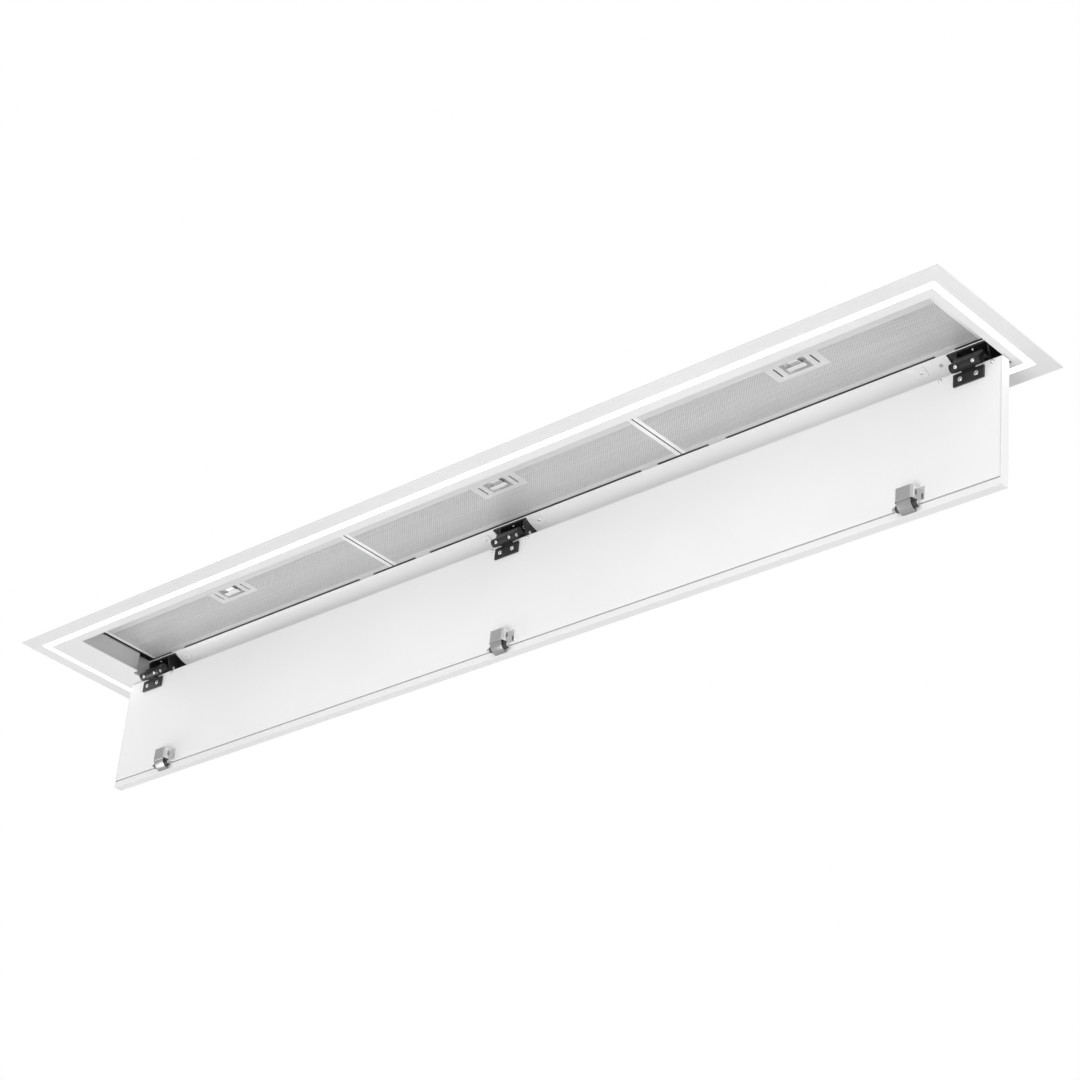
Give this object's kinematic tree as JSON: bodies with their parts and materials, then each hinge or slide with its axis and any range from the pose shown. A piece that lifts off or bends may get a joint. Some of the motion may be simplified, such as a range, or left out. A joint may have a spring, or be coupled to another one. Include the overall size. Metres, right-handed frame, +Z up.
{
  "type": "ceiling range hood",
  "caption": "Flush ceiling range hood with a light ring, mesh filters with latches, and a cover panel that hangs open on two-pivot concealed hinges.",
  "frame": {"origin": "centre of the ceiling cut-out, in the plane of the ceiling, which the top of the flange touches", "axes": "+X along the hood, +Y towards the hinge side, +Z up into the ceiling"},
  "size_m": [1.8, 0.2524, 0.3939],
  "materials": {
    "flange_white": "satin powder coat",
    "channel_steel": "plain",
    "opal": "opal, lit from behind",
    "light_board": "plain",
    "bay_steel": "brushed",
    "rail_white": "satin powder coat",
    "housing_zinc": "galvanized sheet",
    "filter_steel": "fine brushed",
    "mesh_aluminium": "expanded mesh",
    "bright_steel": "bright",
    "hinge_black": "semi-gloss black",
    "panel_white": "satin powder coat",
    "magnet_grey": "ground",
    "spring_steel": "plain",
    "roller_grey": "matt",
    "flap_aluminium": "plain sheet",
    "driver_plastic": "matt",
    "box_plastic": "matt",
    "gland_plastic": "matt"
  },
  "bodies": {
    "hood": {"flange_frame": "flange_white", "light_channel": "channel_steel", "light_diffuser": "opal", "light_strip": "light_board", "inner_plate": "flange_white", "filter_bay": "bay_steel", "hinge_rail": "rail_white", "rail_pads": "rail_white", "rail_rivets": "bright_steel", "housing_shell": "housing_zinc", "housing_top": "housing_zinc", "hanging_lugs": "housing_zinc", "hinge_bracket_left": "hinge_black", "hinge_bracket_mid": "hinge_black", "hinge_bracket_right": "hinge_black", "arm_pins": "bright_steel", "duct_collar_left": "housing_zinc", "duct_collar_right": "housing_zinc", "damper_pins": "bright_steel", "light_driver": "driver_plastic", "terminal_box": "box_plastic", "terminal_lid": "box_plastic", "cable_gland": "gland_plastic"},
    "hinge_arms": {"hinge_arm_left": "hinge_black", "hinge_arm_mid": "hinge_black", "hinge_arm_right": "hinge_black", "arm_rivets": "bright_steel"},
    "panel": {"panel_tray": "panel_white", "panel_liner": "panel_white", "panel_studs": "bright_steel", "hinge_leaf_left": "hinge_black", "hinge_leaf_mid": "hinge_black", "hinge_leaf_right": "hinge_black", "leaf_pins": "bright_steel", "leaf_screws": "bright_steel", "catch_bracket_left": "bright_steel", "catch_bracket_mid": "bright_steel", "catch_bracket_right": "bright_steel", "catch_magnets": "magnet_grey", "catch_springs": "spring_steel", "catch_pins": "bright_steel"},
    "filter_left": {"filter_frame_left": "filter_steel", "filter_mesh_left": "mesh_aluminium", "latch_plate_left": "filter_steel"},
    "bolt_left": {"latch_bolt_left": "bright_steel"},
    "roller_left": {"catch_roller_left": "roller_grey"},
    "filter_mid": {"filter_frame_mid": "filter_steel", "filter_mesh_mid": "mesh_aluminium", "latch_plate_mid": "filter_steel"},
    "bolt_mid": {"latch_bolt_mid": "bright_steel"},
    "roller_mid": {"catch_roller_mid": "roller_grey"},
    "filter_right": {"filter_frame_right": "filter_steel", "filter_mesh_right": "mesh_aluminium", "latch_plate_right": "filter_steel"},
    "bolt_right": {"latch_bolt_right": "bright_steel"},
    "roller_right": {"catch_roller_right": "roller_grey"},
    "flap_left_a": {"damper_left_a": "flap_aluminium"},
    "flap_left_b": {"damper_left_b": "flap_aluminium"},
    "flap_right_a": {"damper_right_a": "flap_aluminium"},
    "flap_right_b": {"damper_right_b": "flap_aluminium"}
  },
  "joints": [
    {"name": "arm_swing", "type": "hinge", "parent": "hood", "child": "hinge_arms", "pos_m": [0, 0.07649, 0.012], "axis": [1, 0, 0], "range_deg": [0, 94.15]},
    {"name": "panel_pivot", "type": "hinge", "parent": "hinge_arms", "child": "panel", "pos_m": [0, 0.0544, -0.00241], "axis": [1, 0, 0], "range_deg": [-187.43, 0]},
    {"name": "filter_left_swing", "type": "hinge", "parent": "hood", "child": "filter_left", "pos_m": [-0.52181, 0.06345, 0.031], "axis": [1, 0, 0], "range_deg": [0, 40]},
    {"name": "latch_left_slide", "type": "slide", "parent": "filter_left", "child": "bolt_left", "axis": [0, -1, 0], "range_m": [0, 0.007]},
    {"name": "roller_left_spin", "type": "hinge", "parent": "panel", "child": "roller_left", "pos_m": [-0.726, 0.06538, -0.17386], "axis": [1, 0, 0], "continuous": true},
    {"name": "filter_mid_swing", "type": "hinge", "parent": "hood", "child": "filter_mid", "pos_m": [0.04816, 0.06345, 0.031], "axis": [1, 0, 0], "range_deg": [0, 40]},
    {"name": "latch_mid_slide", "type": "slide", "parent": "filter_mid", "child": "bolt_mid", "axis": [0, -1, 0], "range_m": [0, 0.007]},
    {"name": "roller_mid_spin", "type": "hinge", "parent": "panel", "child": "roller_mid", "pos_m": [0.019, 0.06538, -0.17386], "axis": [1, 0, 0], "continuous": true},
    {"name": "filter_right_swing", "type": "hinge", "parent": "hood", "child": "filter_right", "pos_m": [0.58092, 0.06345, 0.031], "axis": [1, 0, 0], "range_deg": [0, 40]},
    {"name": "latch_right_slide", "type": "slide", "parent": "filter_right", "child": "bolt_right", "axis": [0, -1, 0], "range_m": [0, 0.007]},
    {"name": "roller_right_spin", "type": "hinge", "parent": "panel", "child": "roller_right", "pos_m": [0.722, 0.06538, -0.17386], "axis": [1, 0, 0], "continuous": true},
    {"name": "flap_left_a_open", "type": "hinge", "parent": "hood", "child": "flap_left_a", "pos_m": [-0.45, 0, 0.1712], "axis": [0, 1, 0], "range_deg": [0, 75]},
    {"name": "flap_left_b_open", "type": "hinge", "parent": "hood", "child": "flap_left_b", "pos_m": [-0.45, 0, 0.1712], "axis": [0, -1, 0], "range_deg": [0, 75]},
    {"name": "flap_right_a_open", "type": "hinge", "parent": "hood", "child": "flap_right_a", "pos_m": [0.45, 0, 0.1712], "axis": [0, 1, 0], "range_deg": [0, 75]},
    {"name": "flap_right_b_open", "type": "hinge", "parent": "hood", "child": "flap_right_b", "pos_m": [0.45, 0, 0.1712], "axis": [0, -1, 0], "range_deg": [0, 75]}
  ],
  "couplings": [
    {"joint": "arm_swing", "follows": "panel_pivot", "ratio": -0.50221}
  ]
}
